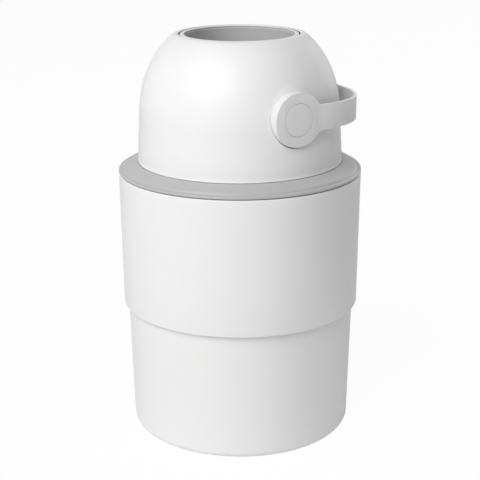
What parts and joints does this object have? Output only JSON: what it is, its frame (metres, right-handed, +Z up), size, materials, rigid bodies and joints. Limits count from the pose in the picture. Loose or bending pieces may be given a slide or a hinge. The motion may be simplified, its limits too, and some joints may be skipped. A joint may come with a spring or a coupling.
{
  "type": "nappy bin",
  "caption": "Round two-part bin with a lift-off domed head, whose drum is turned half over by a swinging handle to drop a nappy into the bag below.",
  "frame": {"origin": "centre of the flat underside of the bucket, on the floor", "axes": "+Z up; the drum turns about a line along Y at 0.358 m; the loop of the handle lies towards +X at rest, and its front disc faces -Y"},
  "size_m": [0.26, 0.26, 0.4327],
  "materials": {
    "white_plastic": "satin moulded white",
    "grey_plastic": "satin moulded light grey",
    "cup_plastic": "satin moulded grey",
    "bearing_plastic": "natural low-friction plastic",
    "soft_seal": "matt soft rubber",
    "steel": "plain zinc-plated"
  },
  "bodies": {
    "container": {"lower_bucket": "white_plastic", "body_sleeve": "white_plastic"},
    "head": {"collar_ring": "grey_plastic", "rim_seal": "soft_seal", "dome_shell": "white_plastic", "drum_cradle": "grey_plastic", "lower_seal": "soft_seal", "upper_seal": "soft_seal", "pivot_bush_front": "bearing_plastic", "pivot_bush_rear": "bearing_plastic", "head_screw_1": "steel", "head_screw_2": "steel", "head_screw_3": "steel", "head_screw_4": "steel", "head_screw_5": "steel", "head_screw_6": "steel"},
    "drum": {"drum_upper_shell": "white_plastic", "drum_lower_shell": "white_plastic", "cup_liner": "cup_plastic", "hub_shaft_front": "bearing_plastic", "hub_shaft_rear": "bearing_plastic", "handle": "white_plastic", "hub_cap_front": "white_plastic", "hub_cap_rear": "white_plastic", "hub_screw_front": "steel", "hub_screw_rear": "steel", "drum_screw_1": "steel", "drum_screw_2": "steel", "drum_screw_3": "steel", "drum_screw_4": "steel"},
    "piston": {"piston_shell": "cup_plastic", "piston_weight": "steel", "piston_cover": "cup_plastic"}
  },
  "joints": [
    {"name": "head_lift", "type": "slide", "parent": "container", "child": "head", "axis": [0, 0, 1], "range_m": [0, 0.12]},
    {"name": "drum_turn", "type": "hinge", "parent": "head", "child": "drum", "pos_m": [0, 0, 0.358], "axis": [0, -1, 0], "range_deg": [0, 180]},
    {"name": "piston_slide", "type": "slide", "parent": "drum", "child": "piston", "axis": [0, 0, 1], "range_m": [0, 0.1155]}
  ]
}
